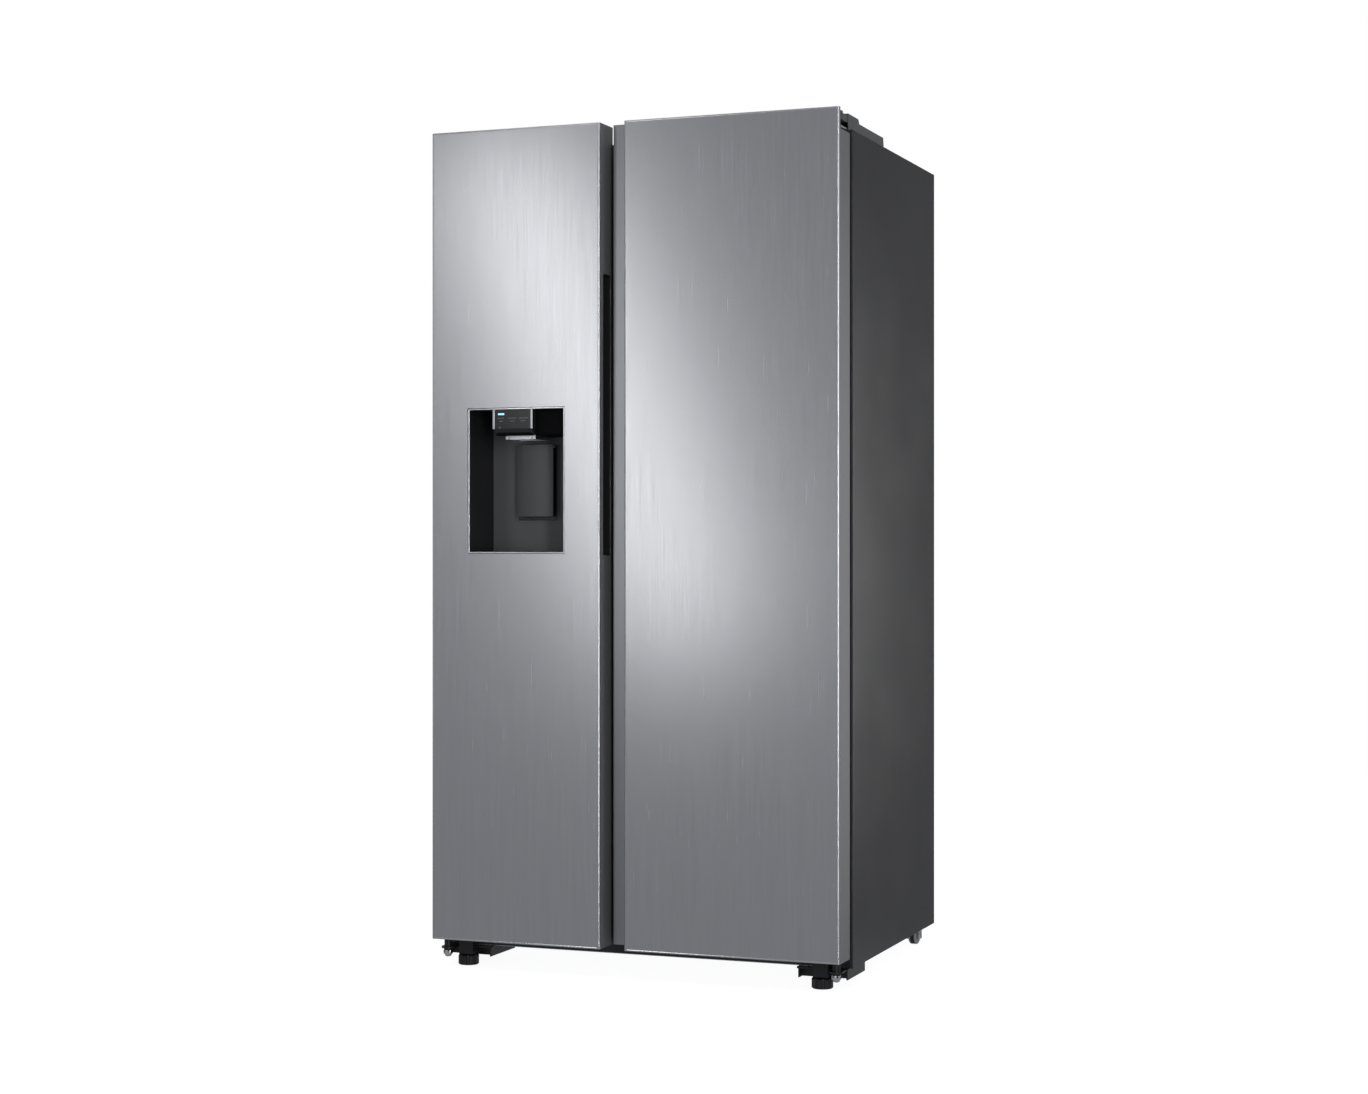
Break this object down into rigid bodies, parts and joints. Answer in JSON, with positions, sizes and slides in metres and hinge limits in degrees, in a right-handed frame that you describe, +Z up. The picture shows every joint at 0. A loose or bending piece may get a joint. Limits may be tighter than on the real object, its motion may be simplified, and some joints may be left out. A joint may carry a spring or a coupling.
{
  "type": "side by side refrigerator",
  "caption": "Side by side refrigerator with hinged steel doors, an ice and water dispenser recess, recessed grips, shelves, door bins and sliding drawers.",
  "frame": {"origin": "on the floor under the middle of the whole machine", "axes": "+X to the right seen from the front, doors face -Y, +Z up"},
  "size_m": [0.912, 0.71, 1.768],
  "materials": {
    "steel_skin": "vertical brushed satin",
    "cabinet_grey": "fine textured satin",
    "galvanised": "dull zinc",
    "bright_steel": "bright plated",
    "cap_grey": "satin moulded",
    "dark_plastic": "satin moulded",
    "panel_grey": "gloss",
    "silver_plastic": "satin metallic",
    "liner_white": "satin",
    "foam": "matt foam",
    "gasket_rubber": "matt",
    "clear_plastic": "clear moulded",
    "shelf_glass": "clear toughened",
    "coil_metal": "satin",
    "black_steel": "satin",
    "fan_plastic": "satin",
    "roller_plastic": "satin",
    "lamp_lens": "frosted",
    "foot_black": "satin",
    "brass": "turned"
  },
  "bodies": {
    "cabinet": {"side_panel_left": "cabinet_grey", "side_panel_right": "cabinet_grey", "top_panel": "cabinet_grey", "back_panel": "galvanised", "base_plate": "galvanised", "base_rail": "cabinet_grey", "mullion_strip": "cabinet_grey", "cabinet_foam": "foam", "freezer_liner": "liner_white", "fridge_liner": "liner_white", "upper_hinges": "galvanised", "lower_hinges": "black_steel", "hinge_cover_left": "cap_grey", "hinge_cover_right": "cap_grey", "freezer_duct_panel": "liner_white", "fridge_duct_panel": "liner_white", "freezer_shelves": "shelf_glass", "fridge_shelves": "shelf_glass", "ceiling_lamps": "lamp_lens", "evaporator": "coil_metal", "compressor": "black_steel", "condenser": "coil_metal", "fan_motors": "galvanised", "machine_cover": "galvanised", "water_valve": "roller_plastic", "power_inlet": "foot_black"},
    "freezer_door": {"freezer_door_skin": "steel_skin", "freezer_door_frame": "cap_grey", "freezer_door_foam": "foam", "freezer_door_liner": "liner_white", "freezer_door_gasket": "gasket_rubber", "freezer_handle_pocket": "dark_plastic", "freezer_door_bin_1": "clear_plastic", "freezer_door_bin_2": "clear_plastic", "dispenser_housing": "dark_plastic", "control_panel": "panel_grey", "dispenser_chute": "silver_plastic", "ice_bucket": "clear_plastic", "ice_maker": "liner_white"},
    "fridge_door": {"fridge_door_skin": "steel_skin", "fridge_door_frame": "cap_grey", "fridge_door_foam": "foam", "fridge_door_liner": "liner_white", "fridge_door_gasket": "gasket_rubber", "fridge_handle_pocket": "dark_plastic", "fridge_door_bin_1": "clear_plastic", "fridge_door_bin_2": "clear_plastic", "fridge_door_bin_3": "clear_plastic"},
    "front_foot_left": {"front_foot_left": "foot_black"},
    "front_foot_right": {"front_foot_right": "foot_black"},
    "rear_roller_left": {"rear_roller_left": "roller_plastic"},
    "rear_roller_right": {"rear_roller_right": "roller_plastic"},
    "condenser_fan": {"condenser_fan": "fan_plastic"},
    "evaporator_fan": {"evaporator_fan": "fan_plastic"},
    "freezer_drawer_lower": {"freezer_drawer_lower": "clear_plastic"},
    "freezer_drawer_upper": {"freezer_drawer_upper": "clear_plastic"},
    "crisper_lower": {"crisper_lower": "clear_plastic"},
    "crisper_upper": {"crisper_upper": "clear_plastic"},
    "dispenser_paddle": {"dispenser_paddle": "dark_plastic"},
    "ice_auger": {"ice_auger": "bright_steel"}
  },
  "joints": [
    {"name": "freezer_door_hinge", "type": "hinge", "parent": "cabinet", "child": "freezer_door", "pos_m": [-0.433, -0.315, 0.9], "axis": [0, 0, -1], "range_deg": [0, 120]},
    {"name": "fridge_door_hinge", "type": "hinge", "parent": "cabinet", "child": "fridge_door", "pos_m": [0.433, -0.315, 0.9], "axis": [0, 0, 1], "range_deg": [0, 120]},
    {"name": "freezer_drawer_lower_slide", "type": "slide", "parent": "cabinet", "child": "freezer_drawer_lower", "axis": [0, -1, 0], "range_m": [0, 0.152]},
    {"name": "freezer_drawer_upper_slide", "type": "slide", "parent": "cabinet", "child": "freezer_drawer_upper", "axis": [0, -1, 0], "range_m": [0, 0.252]},
    {"name": "crisper_lower_slide", "type": "slide", "parent": "cabinet", "child": "crisper_lower", "axis": [0, -1, 0], "range_m": [0, 0.152]},
    {"name": "crisper_upper_slide", "type": "slide", "parent": "cabinet", "child": "crisper_upper", "axis": [0, -1, 0], "range_m": [0, 0.252]},
    {"name": "paddle_hinge", "type": "hinge", "parent": "freezer_door", "child": "dispenser_paddle", "pos_m": [-0.256, -0.256, 1.104], "axis": [1, 0, 0], "range_deg": [0, 6], "stiffness_Nm_per_rad": 0.6},
    {"name": "auger_spin", "type": "hinge", "parent": "freezer_door", "child": "ice_auger", "pos_m": [-0.252, -0.232, 1.241], "axis": [1, 0, 0], "continuous": true},
    {"name": "condenser_fan_spin", "type": "hinge", "parent": "cabinet", "child": "condenser_fan", "pos_m": [-0.009, 0.24, 0.17], "axis": [1, 0, 0], "continuous": true},
    {"name": "evaporator_fan_spin", "type": "hinge", "parent": "cabinet", "child": "evaporator_fan", "pos_m": [-0.249, 0.245, 1.08], "axis": [0, 1, 0], "continuous": true},
    {"name": "front_foot_left_turn", "type": "hinge", "parent": "cabinet", "child": "front_foot_left", "pos_m": [-0.396, -0.291, 0.02], "axis": [0, 0, 1], "continuous": true},
    {"name": "rear_roller_left_roll", "type": "hinge", "parent": "cabinet", "child": "rear_roller_left", "pos_m": [-0.425, 0.3, 0.022], "axis": [1, 0, 0], "continuous": true},
    {"name": "front_foot_right_turn", "type": "hinge", "parent": "cabinet", "child": "front_foot_right", "pos_m": [0.396, -0.291, 0.02], "axis": [0, 0, 1], "continuous": true},
    {"name": "rear_roller_right_roll", "type": "hinge", "parent": "cabinet", "child": "rear_roller_right", "pos_m": [0.425, 0.3, 0.022], "axis": [1, 0, 0], "continuous": true}
  ],
  "couplings": [
    {"joint": "freezer_drawer_lower_slide", "follows": "freezer_door_hinge", "m_per_rad": 0.07162},
    {"joint": "freezer_drawer_upper_slide", "follows": "freezer_door_hinge", "m_per_rad": 0.11937},
    {"joint": "crisper_lower_slide", "follows": "fridge_door_hinge", "m_per_rad": 0.07162},
    {"joint": "crisper_upper_slide", "follows": "fridge_door_hinge", "m_per_rad": 0.11937}
  ]
}
